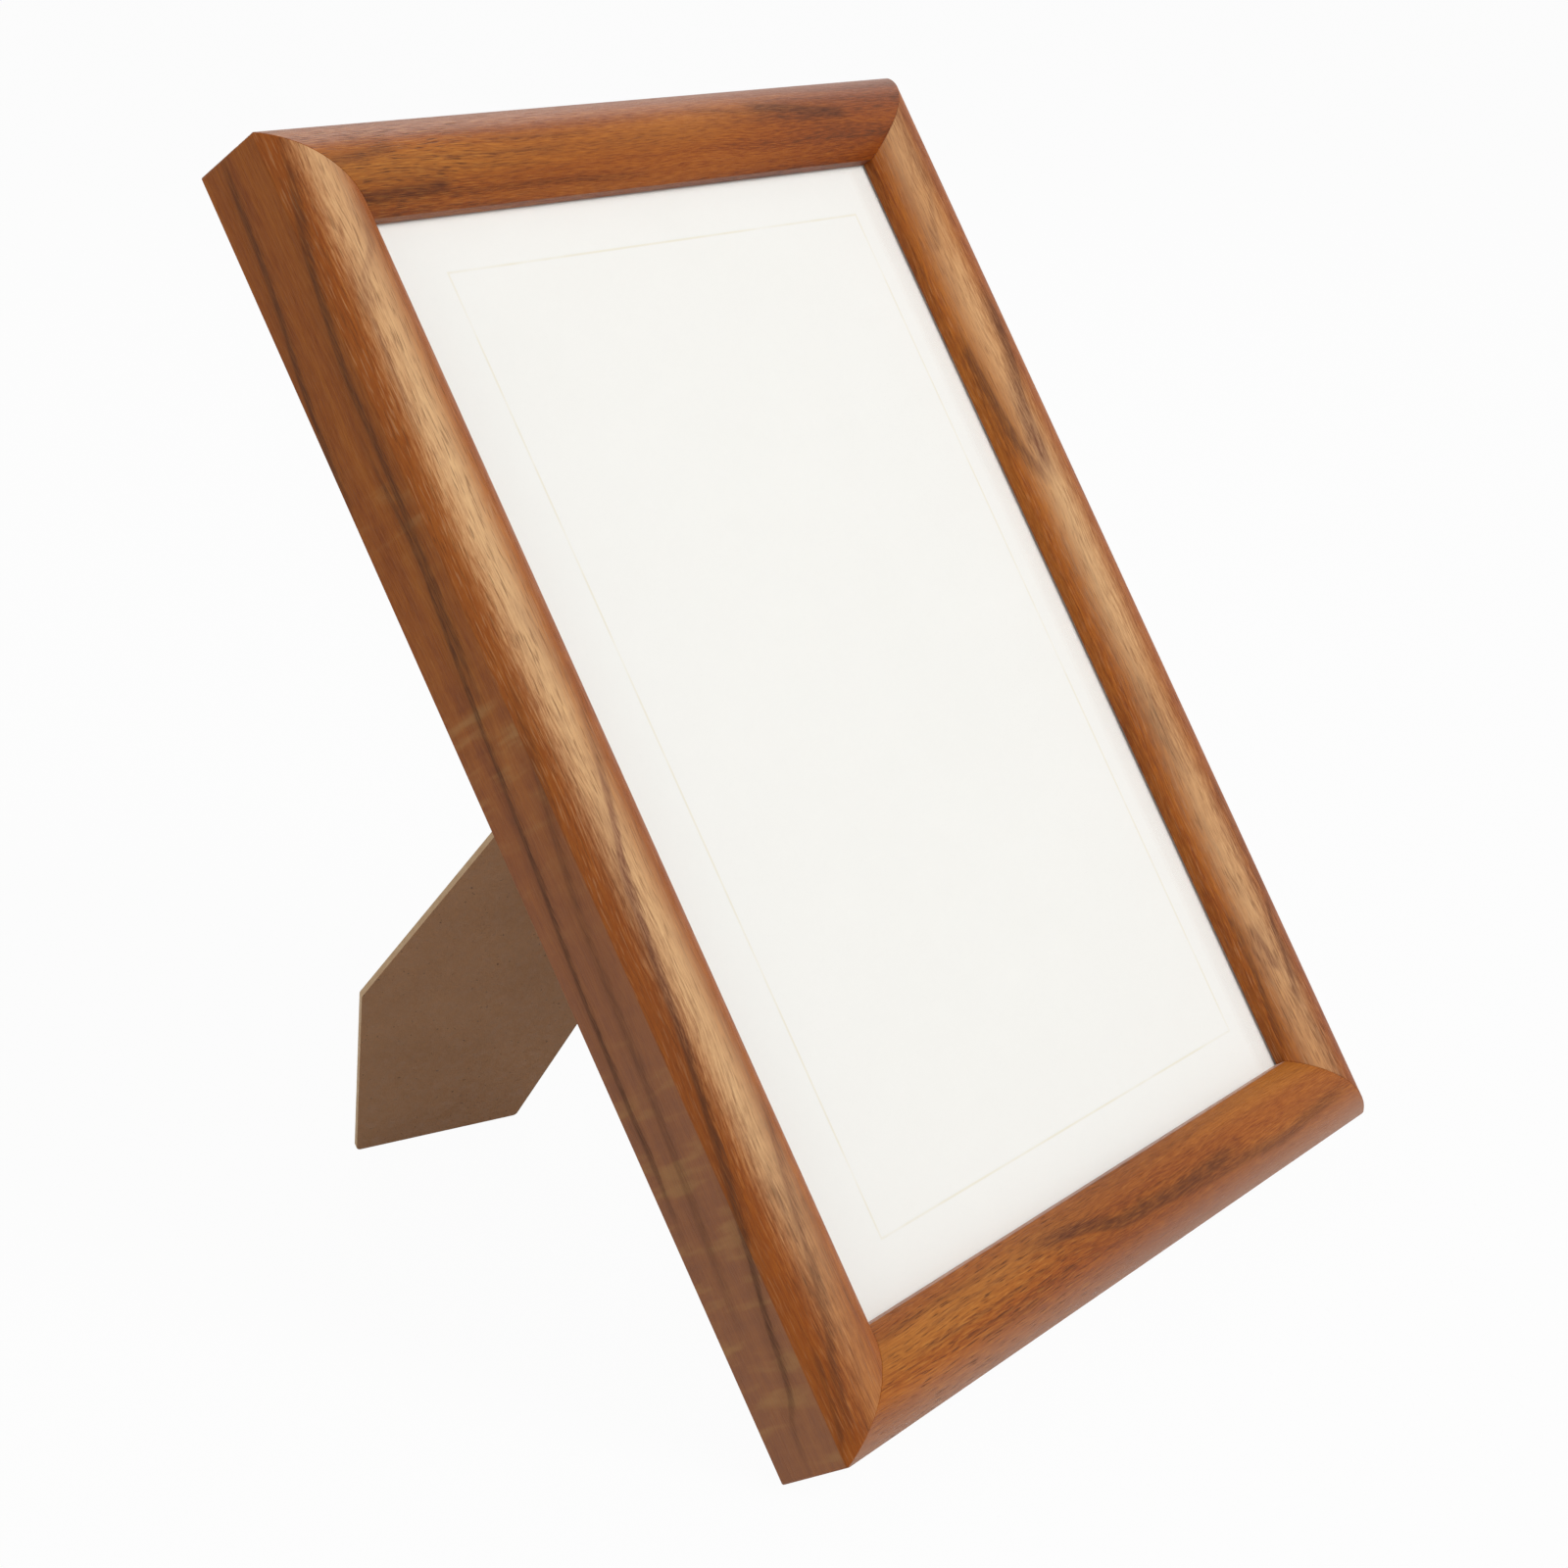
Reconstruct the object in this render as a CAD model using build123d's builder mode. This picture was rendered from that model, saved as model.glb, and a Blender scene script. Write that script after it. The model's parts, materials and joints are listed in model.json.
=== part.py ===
import os
from math import cos, radians, sin, sqrt, tan

from build123d import *

# Sheet, pane and boards
sheet_w = 210.0  # A4 sheet, upright
sheet_h = 297.0
sheet_play = 1.0  # room round the sheet in the rebate
glass_t = 1.0
print_t = 0.3
card_t = 1.5
spacer_w = 5.0
spacer_d = 12.7  # from the card to the backing board
board_t = 3.0

# Section of the moulding
rail_w = 25.0  # seen from the front
lip_w = 6.0  # reach of the lip over the pane
lip_t = 3.35  # from the pane to the edge of the dome
dome_rise = 8.0  # crown above the edges of the dome
crown_r = 11.5
crown_angle = 60.0  # arc of the crown, between the flatter shoulders
arris_r = 0.8
sight_r = 0.6
corner_r = 1.2  # worn outer corners

# Stance
lean_angle = 31.0  # of the frame, back from upright
edge_setback = 97.8  # rear bottom edge, in front of the origin

# Strut and its two foot edges
heel_x = -15.0  # middle of the top edge, on the backing board
heel_y = 21.3
hinge_slant_angle = 21.65
open_angle = 64.4
strut_t = 2.0
heel_w = 56.4
near_corner_x = 39.4  # ends of the foot edges, across from the middle
tip_x = -8.3
far_corner_x = -42.5
strut_corner_r = 1.5
stop_gap = 0.05  # heel to backing board at the open stop

# Hinge
leaf_w = 40.0
leaf_reach = 20.0  # below the pin
leaf_t = 0.8
leaf_corner_r = 3.0
pin_r = 1.0
pin_fit = 0.05
pin_head_lip = 0.5
pin_head_t = 0.5
knuckle_wall = 0.95
knuckle_gap = 0.3
middle_knuckle_w = 16.0
rivet_r = 1.2
rivet_head_lip = 1.2
rivet_head_h = 0.7
rivet_tail_t = 0.4
rivet_margin = 7.0  # in from the sides and the lower edge of a leaf

# Turn buttons and their screws
stile_button_share = 0.45  # of the way from the middle of a rail to its end
rail_button_share = 0.52
button_t = 1.2
button_r = 6.0
button_tip_r = 4.0
button_reach = 14.0  # pivot to the middle of the tip
button_fit = 0.08
screw_r = 1.5
screw_depth = 10.0
screw_head_lip = 1.7
screw_head_h = 1.8
slot_w = 0.8
slot_depth = 0.9

# Nails across the mitres
nail_t = 0.5
nail_wing = 5.5
nail_depth = 8.0
nail_angle = 52.0  # each wing, off the mitre
nail_shares = (0.2, 0.5)  # along the mitre, from the outer corner to the rebate

# Saw-tooth hangers
hanger_w = 11.0
hanger_t = 0.8
hanger_rise = 1.6
bridge_l = 27.0
ramp_l = 1.5
tab_l = 7.5
tooth_pitch = 2.6
tooth_flat = 0.4
tooth_h = 2.2
prong_w = 5.0
prong_depth = 6.0

# Sizes that follow
opening_w = sheet_w + 2 * sheet_play
opening_h = sheet_h + 2 * sheet_play
sight_w = opening_w - 2 * lip_w
sight_h = opening_h - 2 * lip_w
outer_w = sight_w + 2 * rail_w
outer_h = sight_h + 2 * rail_w
land_w = rail_w - lip_w  # flat back of a rail, beside the rebate
card_z = board_t + spacer_d
print_z = card_z + card_t
glass_z = print_z + print_t
ledge_h = glass_z + glass_t  # seat of the pane, under the lip
side_h = ledge_h + lip_t  # flat outer side, as high as the sight edge
crown_h = side_h + dome_rise
knuckle_r = pin_r + pin_fit + knuckle_wall
axis_off = knuckle_r + knuckle_gap  # pin to board, and pin to strut
axis_drop = axis_off / tan(radians(open_angle) / 2)

# The back of the rails: x across, y up the frame, z out of its front
lean = radians(lean_angle)
floor = Plane.XY
back = Plane(
    origin=(0, outer_h / 2 * sin(lean) - edge_setback, outer_h / 2 * cos(lean)),
    x_dir=(1, 0, 0),
    z_dir=(0, -cos(lean), sin(lean)),
)

# The hinge line on the backing board, the strut's front face when open, and the pin
slant = radians(hinge_slant_angle)
swing = radians(open_angle)
hinge = Plane(
    origin=back.from_local_coords((heel_x, heel_y, 0)),
    x_dir=back.x_dir * cos(slant) - back.y_dir * sin(slant),
    z_dir=back.z_dir,
)
strut_face = Plane(
    origin=hinge.origin,
    x_dir=hinge.x_dir,
    z_dir=hinge.z_dir * cos(swing) - hinge.y_dir * sin(swing),
)
pin_axis = Plane(
    origin=hinge.from_local_coords((0, -axis_drop, -axis_off)),
    x_dir=hinge.y_dir,
    z_dir=hinge.x_dir,
)

# The rails, each between two corners
rails = {
    "left_stile": ((-1, -1), (-1, 1)),
    "right_stile": ((1, -1), (1, 1)),
    "top_rail": ((-1, 1), (1, 1)),
    "bottom_rail": ((-1, -1), (1, -1)),
}


def finish(builder, name):
    builder.part.label = name
    export_step(builder.part, f"parts/{name}.step")


def outward(ends):
    """Which way a rail lies from the middle of the frame."""
    (ax, ay), (bx, by) = ends
    return Vector((ax + bx) / 2, (ay + by) / 2)


def rear_plane(side, share):
    """A plane on the back of a rail's land: x towards the opening, z to the rear."""
    x = side.X * (outer_w - land_w) / 2 + side.Y * share * outer_w / 2
    y = side.Y * (outer_h - land_w) / 2 + side.X * share * outer_h / 2
    inward = -back.x_dir * side.X - back.y_dir * side.Y
    return Plane(origin=back.from_local_coords((x, y, 0)), x_dir=inward, z_dir=-back.z_dir)


def strut_drop(across, ground):
    """Length of the strut, from its heel down to where its front face meets the ground."""
    start = strut_face.from_local_coords((across, 0, 0))
    height = (start - ground.origin).dot(ground.z_dir)
    return height / strut_face.y_dir.dot(ground.z_dir)


os.makedirs("parts", exist_ok=True)

# Places of the fasteners on the backs of the rails
button_planes = []
for ends in rails.values():
    side = outward(ends)
    share = stile_button_share if side.X else rail_button_share
    button_planes += [rear_plane(side, share), rear_plane(side, -share)]
hanger_planes = {
    "portrait_hanger": rear_plane(Vector(0, 1), 0),
    "landscape_hanger": rear_plane(Vector(1, 0), 0),
}
bridge_end = bridge_l / 2
ramp_end = bridge_end + ramp_l
tab_end = ramp_end + tab_l

with BuildSketch(back) as screw_plan:
    with Locations(*[back.to_local_coords(plane.origin) for plane in button_planes]):
        Circle(screw_r)

with BuildPart() as prongs:
    for plane in hanger_planes.values():
        for end in (-tab_end, tab_end - hanger_t):
            root = plane.from_local_coords((0, end, 0))
            with BuildSketch(Plane(origin=root, x_dir=plane.x_dir, z_dir=plane.y_dir)):
                Polygon((-prong_w / 2, 0), (prong_w / 2, 0), (0, prong_depth), align=None)
    extrude(amount=hanger_t)

with BuildSketch() as vee:
    with BuildLine():
        wing = Vector(nail_wing, 0)
        Polyline(wing.rotate(Axis.Z, nail_angle), (0, 0), wing.rotate(Axis.Z, -nail_angle))
    trace(line_width=nail_t)

with BuildSketch(back) as nail_plan:
    for (sx, sy), bearing in {(1, 1): -135, (-1, 1): -45, (-1, -1): 45, (1, -1): 135}.items():
        corner = Vector(sx * outer_w / 2, sy * outer_h / 2)
        for share in nail_shares:
            apex = corner + Vector(share * land_w * sqrt(2), 0).rotate(Axis.Z, bearing)
            with Locations(Location(apex, (0, 0, bearing))):
                add(vee.sketch)

# Section of the moulding: x from the outer side in, y from the back to the front
with BuildSketch() as section:
    with BuildLine():
        crown = CenterArc((rail_w / 2, crown_h - crown_r), crown_r, 90 - crown_angle / 2, crown_angle)
        TangentArc(crown @ 1, (0, side_h), tangent=crown % 1)
        TangentArc(crown @ 0, (rail_w, side_h), tangent=-(crown % 0))
        Polyline((rail_w, side_h), (rail_w, ledge_h), (land_w, ledge_h), (land_w, 0), (0, 0), (0, side_h))
    make_face()
    fillet(section.vertices().group_by(Axis.X)[0].sort_by(Axis.Y)[-1], arris_r)
    fillet(section.vertices().group_by(Axis.X)[-1].sort_by(Axis.Y)[-1], sight_r)

# Rails: the section run full length, mitred, with worn corners and the fasteners' holes
for name, ends in rails.items():
    side = outward(ends)
    inward = -back.x_dir * side.X - back.y_dir * side.Y
    middle = back.from_local_coords((side.X * outer_w / 2, side.Y * outer_h / 2, 0))
    with BuildPart() as rail:
        with BuildSketch(Plane(origin=middle, x_dir=inward, z_dir=inward.cross(back.z_dir))):
            add(section.sketch)
        extrude(amount=(outer_h if side.X else outer_w) / 2, both=True)
        with BuildSketch(back):
            outer = [(sx * outer_w / 2, sy * outer_h / 2) for sx, sy in ends]
            sight = [(sx * sight_w / 2, sy * sight_h / 2) for sx, sy in reversed(ends)]
            Polygon(*outer, *sight, align=None)
        extrude(amount=crown_h, mode=Mode.INTERSECT)
        with BuildSketch(back):
            RectangleRounded(outer_w, outer_h, corner_r)
        extrude(amount=crown_h, mode=Mode.INTERSECT)
        extrude(nail_plan.sketch, amount=nail_depth, mode=Mode.SUBTRACT)
        extrude(screw_plan.sketch, amount=screw_depth, mode=Mode.SUBTRACT)
        add(prongs.part, mode=Mode.SUBTRACT)
    finish(rail, name)

with BuildPart() as corner_v_nails:
    extrude(nail_plan.sketch, amount=nail_depth)
finish(corner_v_nails, "corner_v_nails")

# What lies in the rebate, from the lip to the back
with BuildPart() as glazing:
    with BuildSketch(back.offset(glass_z)):
        Rectangle(sheet_w, sheet_h)
    extrude(amount=glass_t)
finish(glazing, "glazing")

with BuildPart() as insert_sheet:
    with BuildSketch(back.offset(print_z)):
        Rectangle(sheet_w, sheet_h)
    extrude(amount=print_t)
finish(insert_sheet, "insert_sheet")

with BuildPart() as backing_card:
    with BuildSketch(back.offset(card_z)):
        Rectangle(sheet_w, sheet_h)
    extrude(amount=card_t)
finish(backing_card, "backing_card")

spacer_runs = {
    "left_spacer": (-1, 0, spacer_w, sheet_h),
    "right_spacer": (1, 0, spacer_w, sheet_h),
    "top_spacer": (0, 1, sheet_w - 2 * spacer_w, spacer_w),
    "bottom_spacer": (0, -1, sheet_w - 2 * spacer_w, spacer_w),
}
for name, (sx, sy, run_x, run_y) in spacer_runs.items():
    with BuildPart() as spacer:
        with BuildSketch(back.offset(board_t)):
            with Locations((sx * (sheet_w - spacer_w) / 2, sy * (sheet_h - spacer_w) / 2)):
                Rectangle(run_x, run_y)
        extrude(amount=spacer_d)
    finish(spacer, name)

# The rivets' places, the same on both leaves of the hinge
rivet_x = leaf_w / 2 - rivet_margin
rivet_y = rivet_margin - leaf_reach - axis_drop
rivet_spots = [(-rivet_x, rivet_y), (rivet_x, rivet_y)]

with BuildPart() as backing_board:
    with BuildSketch(back):
        Rectangle(sheet_w, sheet_h)
    extrude(amount=board_t)
    with BuildSketch(hinge):
        with Locations(*rivet_spots):
            Circle(rivet_r)
    extrude(amount=board_t, mode=Mode.SUBTRACT)
finish(backing_board, "backing_board")

# Strut: one foot edge for the floor, the other for the floor it finds when the frame lies on its left side
near_corner = (near_corner_x, -strut_drop(near_corner_x, floor))
tip = (tip_x, -strut_drop(tip_x, floor))
left_edge = back.from_local_coords((-outer_w / 2, 0, 0))
tip_point = strut_face.from_local_coords(tip)
side_floor = Plane(origin=left_edge, z_dir=back.y_dir.cross(tip_point - left_edge))
far_corner = (far_corner_x, -strut_drop(far_corner_x, side_floor))

with BuildPart() as easel_strut:
    with BuildSketch(strut_face) as strut_plan:
        heel = [(-heel_w / 2, -stop_gap), (heel_w / 2, -stop_gap)]
        Polygon(*heel, near_corner, tip, far_corner, align=None)
        fillet(strut_plan.vertices(), strut_corner_r)
        with Locations(*rivet_spots):
            Circle(rivet_r, mode=Mode.SUBTRACT)
    extrude(amount=-strut_t)
finish(easel_strut, "easel_strut")


def leaf_plan(notches):
    """Flat of a hinge leaf below the pin, notched round the other leaf's knuckles."""
    with BuildSketch() as plan:
        with Locations((0, -axis_drop)):
            Rectangle(leaf_w, leaf_reach, align=(Align.CENTER, Align.MAX))
        fillet(plan.vertices().group_by(Axis.Y)[0], leaf_corner_r)
        for middle, width in notches:
            with Locations((middle, -axis_drop)):
                Rectangle(width, 2 * axis_off, mode=Mode.SUBTRACT)
        with Locations(*rivet_spots):
            Circle(rivet_r, mode=Mode.SUBTRACT)
    return plan.sketch


# Hinge: two outer knuckles on the board's leaf, the middle one on the strut's
outer_knuckle_w = (leaf_w - middle_knuckle_w) / 2 - knuckle_gap
notch_w = outer_knuckle_w + knuckle_gap
notch_x = (leaf_w - notch_w) / 2
board_leaf_plan = leaf_plan([(0, leaf_w - 2 * outer_knuckle_w)])
strut_leaf_plan = leaf_plan([(-notch_x, notch_w), (notch_x, notch_w)])

with BuildPart() as hinge_board_leaf:
    with BuildSketch(hinge):
        add(board_leaf_plan)
    extrude(amount=-leaf_t)
    with BuildSketch(pin_axis.offset(-leaf_w / 2), pin_axis.offset(leaf_w / 2 - outer_knuckle_w)):
        Circle(knuckle_r)
    extrude(amount=outer_knuckle_w)
    with BuildSketch(pin_axis):
        Circle(pin_r + pin_fit)
    extrude(amount=leaf_w, both=True, mode=Mode.SUBTRACT)
finish(hinge_board_leaf, "hinge_board_leaf")

with BuildPart() as hinge_strut_leaf:
    with BuildSketch(strut_face):
        add(strut_leaf_plan)
    extrude(amount=leaf_t)
    with BuildSketch(pin_axis):
        Circle(knuckle_r)
    extrude(amount=middle_knuckle_w / 2, both=True)
    with BuildSketch(pin_axis):
        Circle(pin_r + pin_fit)
    extrude(amount=leaf_w, both=True, mode=Mode.SUBTRACT)
finish(hinge_strut_leaf, "hinge_strut_leaf")

with BuildPart() as hinge_pin:
    with BuildSketch(pin_axis):
        Circle(pin_r)
    extrude(amount=leaf_w / 2, both=True)
    with BuildSketch(pin_axis.offset(leaf_w / 2), pin_axis.offset(-leaf_w / 2 - pin_head_t)):
        Circle(pin_r + pin_head_lip)
    extrude(amount=pin_head_t)
finish(hinge_pin, "hinge_pin")


def rivet(grip):
    """A rivet on the z axis: head above z = 0, flat tail below what it grips."""
    with BuildPart() as one:
        with BuildSketch(Plane.XY.offset(-grip)):
            Circle(rivet_r)
        extrude(amount=grip)
        with BuildSketch():
            Circle(rivet_r + rivet_head_lip)
        extrude(amount=rivet_head_h)
        with BuildSketch(Plane.XY.offset(-grip)):
            Circle(rivet_r + rivet_head_lip)
        extrude(amount=-rivet_tail_t)
    return one.part


board_rivet = rivet(leaf_t + board_t)
with BuildPart() as board_rivets:
    for x, y in rivet_spots:
        seat = hinge.from_local_coords((x, y, -leaf_t))
        with Locations(Plane(origin=seat, x_dir=hinge.x_dir, z_dir=-hinge.z_dir)):
            add(board_rivet)
finish(board_rivets, "board_rivets")

strut_rivet = rivet(leaf_t + strut_t)
with BuildPart() as strut_rivets:
    for x, y in rivet_spots:
        seat = strut_face.from_local_coords((x, y, leaf_t))
        with Locations(Plane(origin=seat, x_dir=strut_face.x_dir, z_dir=strut_face.z_dir)):
            add(strut_rivet)
finish(strut_rivets, "strut_rivets")

# Turn buttons, each on its own screw
for number, plane in enumerate(button_planes, start=1):
    with BuildPart() as turn_button:
        with BuildSketch(plane):
            Circle(button_r)
            with Locations((button_reach, 0)):
                Circle(button_tip_r)
            make_hull()
            Circle(screw_r + button_fit, mode=Mode.SUBTRACT)
        extrude(amount=button_t)
    finish(turn_button, f"turn_button_{number}")

with BuildPart() as screw:
    with BuildSketch(Plane.XY.offset(-screw_depth)):
        Circle(screw_r)
    extrude(amount=screw_depth + button_t)
    with BuildSketch(Plane.XY.offset(button_t)):
        Circle(screw_r + screw_head_lip)
    extrude(amount=screw_head_h)
    with BuildSketch(Plane.XY.offset(button_t + screw_head_h)):
        Rectangle(2 * (screw_r + screw_head_lip), slot_w)
    extrude(amount=-slot_depth, mode=Mode.SUBTRACT)

with BuildPart() as button_screws:
    with Locations(*button_planes):
        add(screw.part)
finish(button_screws, "button_screws")

# Saw-tooth hangers: a bridged strip with notches along its lower edge, driven in by a prong at each end
under = [(-tab_end, 0), (-ramp_end, 0), (-bridge_end, hanger_rise)]
under += [(-x, z) for x, z in reversed(under)]
over = [(x, z + hanger_t) for x, z in reversed(under)]
notch_half_w = (tooth_pitch - tooth_flat) / 2
notch = [(0, -notch_half_w), (0, notch_half_w), (-tooth_h, 0)]
notch_count = int(bridge_l / tooth_pitch) - 1

for name, plane in hanger_planes.items():
    with BuildPart() as hanger:
        with BuildSketch(Plane(origin=plane.origin, x_dir=plane.y_dir, z_dir=plane.x_dir)):
            Polygon(*under, *over, align=None)
        extrude(amount=hanger_w / 2, both=True)
        with BuildSketch(plane):
            with Locations((hanger_w / 2, 0)):
                with GridLocations(tooth_pitch, tooth_pitch, 1, notch_count):
                    Polygon(*notch, align=None)
        extrude(amount=hanger_rise + hanger_t, mode=Mode.SUBTRACT)
        add(prongs.part.solids().sort_by_distance(plane.origin)[:2])
    finish(hanger, name)
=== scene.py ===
import json
from math import acos, cos, pi, radians, sin

import bmesh
import bpy
from mathutils import Matrix, Vector


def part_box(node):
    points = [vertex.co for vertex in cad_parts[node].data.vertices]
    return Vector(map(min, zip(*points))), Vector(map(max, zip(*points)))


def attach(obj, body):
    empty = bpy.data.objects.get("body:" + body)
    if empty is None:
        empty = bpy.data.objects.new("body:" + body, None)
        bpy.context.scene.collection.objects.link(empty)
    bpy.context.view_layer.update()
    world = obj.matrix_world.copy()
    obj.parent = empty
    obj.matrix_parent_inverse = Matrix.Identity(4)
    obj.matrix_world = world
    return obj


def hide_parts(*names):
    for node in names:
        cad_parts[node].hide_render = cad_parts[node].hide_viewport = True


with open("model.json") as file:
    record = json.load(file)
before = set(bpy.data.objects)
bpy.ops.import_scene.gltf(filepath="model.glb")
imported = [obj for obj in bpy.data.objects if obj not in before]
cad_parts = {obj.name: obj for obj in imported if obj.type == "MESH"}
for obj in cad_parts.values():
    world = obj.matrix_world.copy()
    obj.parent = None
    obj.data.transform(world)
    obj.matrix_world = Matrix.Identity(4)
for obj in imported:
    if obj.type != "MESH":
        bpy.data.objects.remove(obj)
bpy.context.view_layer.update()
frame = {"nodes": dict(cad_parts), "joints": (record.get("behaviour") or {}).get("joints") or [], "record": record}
nodes = frame["nodes"]
joints = {joint["name"]: joint for joint in frame["joints"]}
mounts = {mount["name"]: mount for mount in frame["record"]["mounts"]}
mm = 0.001
inMm = 1000.0  # from metres, in shaders
weld, hair = 0.002 * mm, 0.01 * mm  # points that count as one, and heights that count as level
print("frame loaded:", len(nodes), "nodes")

# directions of the leaning frame, and the middle of its flat back
upFrame = -Vector(mounts["underside"]["axis"])
outFront = -Vector(mounts["hang_portrait"]["axis"])
acrossFrame = upFrame.cross(outFront)
frameWide, frameHigh, boardThick = 250 * mm, 337 * mm, 3 * mm
boardLow, boardHigh = (Vector(corner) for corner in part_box("backing_board"))
backMiddle = (boardLow + boardHigh) / 2 - outFront * boardThick / 2

# the open strut's front face, from its hinge
hingeRun = -Vector(joints["strut_fold"]["axis"])
hingeUp = outFront.cross(hingeRun)
strutSwing = radians(joints["strut_fold"]["range_deg"][1])
strutFace = outFront * cos(strutSwing) - hingeUp * sin(strutSwing)


def axesAt(spot, xDir, yDir, zDir):
    turn = Matrix((xDir, yDir, zDir)).transposed().to_4x4()
    return Matrix.Translation(spot) @ turn


onBack = axesAt(backMiddle, acrossFrame, upFrame, outFront)


# modelling helpers: a pen that draws an outline on XY, then fill, extrude and bevel
def putDown():
    if bpy.context.mode != "OBJECT":
        bpy.ops.object.mode_set(mode="OBJECT")
    bpy.ops.object.select_all(action="DESELECT")


def pickUp(piece):
    putDown()
    piece.select_set(True)
    bpy.context.view_layer.objects.active = piece


def named(name):
    piece = bpy.context.object
    piece.name = piece.data.name = name
    return piece


def placed(name, data):
    piece = bpy.data.objects.new(name, data)
    bpy.context.scene.collection.objects.link(piece)
    return piece


def applyPlace():
    bpy.ops.object.transform_apply(location=True, rotation=True, scale=True)


def selectAll():
    bpy.ops.mesh.select_all(action="SELECT")


def drawOut(x, y, z):
    bpy.ops.mesh.extrude_region_move(TRANSFORM_OT_translate={"value": (x, y, z)})


def openUp(piece, mode):
    pickUp(piece)
    bpy.ops.object.mode_set(mode="EDIT")
    bpy.ops.mesh.select_mode(type=mode)
    bpy.ops.mesh.select_all(action="DESELECT")


def pick(piece, kind, wanted):
    bpy.ops.mesh.select_all(action="DESELECT")
    cage = bmesh.from_edit_mesh(piece.data)
    for part in getattr(cage, kind):
        if wanted(part):
            part.select_set(True)
    cage.select_flush_mode()
    bmesh.update_edit_mesh(piece.data)


def midPoint(edge):
    return (edge.verts[0].co + edge.verts[1].co) / 2


def above(height):
    return lambda edge: all(vert.co.z > height for vert in edge.verts)


def penDown(name, x, y):
    putDown()
    bpy.ops.mesh.primitive_plane_add(size=mm, location=(x, y, 0))
    piece = named(name)
    applyPlace()
    bpy.ops.object.mode_set(mode="EDIT")
    bpy.ops.mesh.select_mode(type="VERT")
    selectAll()
    bpy.ops.mesh.merge(type="CENTER")  # down to the pen's first point
    return piece


def penLine(piece, x, y):
    cage = bmesh.from_edit_mesh(piece.data)
    here = next(vert.co for vert in cage.verts if vert.select)
    drawOut(x - here.x, y - here.y, 0)


def penArc(x, y, turn, steps):
    bpy.ops.mesh.spin(steps=steps, angle=-turn, center=(x, y, 0), axis=(0, 0, 1))  # spin runs clockwise


def penFill(piece, thick):
    selectAll()
    bpy.ops.mesh.remove_doubles(threshold=weld)
    bpy.ops.mesh.edge_face_add()
    drawOut(0, 0, thick)
    selectAll()
    bpy.ops.mesh.normals_make_consistent(inside=False)


def ease(piece, wanted, offset, segments):
    bpy.ops.mesh.select_mode(type="EDGE")
    pick(piece, "edges", wanted)
    bpy.ops.mesh.bevel(offset=offset, segments=segments, affect="EDGES")


# smooth over small turns, with flat faces kept flat
def smooth(piece, angle=35):
    pickUp(piece)
    bpy.ops.object.shade_smooth_by_angle(angle=radians(angle))
    weigh = piece.modifiers.new("weigh", "WEIGHTED_NORMAL")
    weigh.mode, weigh.weight, weigh.keep_sharp = "FACE_AREA", 80, True
    bpy.ops.object.modifier_apply(modifier=weigh.name)


def settle(piece, place):
    pickUp(piece)
    piece.matrix_world = place
    applyPlace()


def copyOf(piece, name):
    pickUp(piece)
    bpy.ops.object.duplicate(linked=False)
    return named(name)


def merged(pieces, name):
    pickUp(pieces[0])
    for piece in pieces[1:]:
        piece.select_set(True)
    bpy.ops.object.join()
    return named(name)


def cutAway(piece, cutter):
    pickUp(piece)
    cut = piece.modifiers.new("cut", "BOOLEAN")
    cut.operation, cut.solver, cut.object = "DIFFERENCE", "EXACT", cutter
    bpy.ops.object.modifier_apply(modifier=cut.name)


def scrap(piece):
    pickUp(piece)
    bpy.ops.object.delete()


# a CAD shape with its sharp edges taken off
def softened(node, name, offset):
    piece = placed(name, nodes[node].data.copy())
    piece.data.name = name
    openUp(piece, "VERT")
    bpy.ops.mesh.customdata_custom_splitnormals_clear()
    selectAll()
    bpy.ops.mesh.remove_doubles(threshold=weld)
    bpy.ops.mesh.dissolve_limited(angle_limit=radians(1))
    ease(piece, lambda edge: edge.is_manifold and edge.calc_face_angle() > radians(40), offset, 2)
    smooth(piece)
    return piece


def finishOff(piece, node, body, finish):
    piece.data.materials.clear()
    piece.data.materials.append(finish)
    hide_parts(node)
    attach(piece, body)


# shading helpers
def srgb(red, green, blue):
    def linear(value):
        value /= 255
        return value / 12.92 if value < 0.04045 else ((value + 0.055) / 1.055) ** 2.4
    return (linear(red), linear(green), linear(blue), 1)


def feed(tree, socket, value):
    if isinstance(value, bpy.types.NodeSocket):
        tree.links.new(value, socket)
    else:
        socket.default_value = value


def addNode(tree, kind, inputs=None, **settings):
    node = tree.nodes.new(kind)
    for key, value in settings.items():
        setattr(node, key, value)
    for key, value in (inputs or {}).items():
        feed(tree, node.inputs[key], value)
    return node


def sums(tree, operation, *values, clamp=False):
    settings = {"operation": operation, "use_clamp": clamp}
    return addNode(tree, "ShaderNodeMath", dict(enumerate(values)), **settings).outputs[0]


def times(tree, first, second, clamp=False):
    return sums(tree, "MULTIPLY", first, second, clamp=clamp)


def plus(tree, first, second):
    return sums(tree, "ADD", first, second)


def minus(tree, first, second):
    return sums(tree, "SUBTRACT", first, second)


def between(tree, value, low, high, toLow=0.0, toHigh=1.0, kind="SMOOTHSTEP"):
    inputs = {"Value": value, "From Min": low, "From Max": high, "To Min": toLow, "To Max": toHigh}
    return addNode(tree, "ShaderNodeMapRange", inputs, interpolation_type=kind).outputs["Result"]


def mixTint(tree, factor, first, second):
    node = addNode(tree, "ShaderNodeMix", data_type="RGBA")
    for key, value in (("Factor_Float", factor), ("A_Color", first), ("B_Color", second)):
        feed(tree, next(item for item in node.inputs if item.identifier == key), value)
    return next(item for item in node.outputs if item.identifier == "Result_Color")


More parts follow.
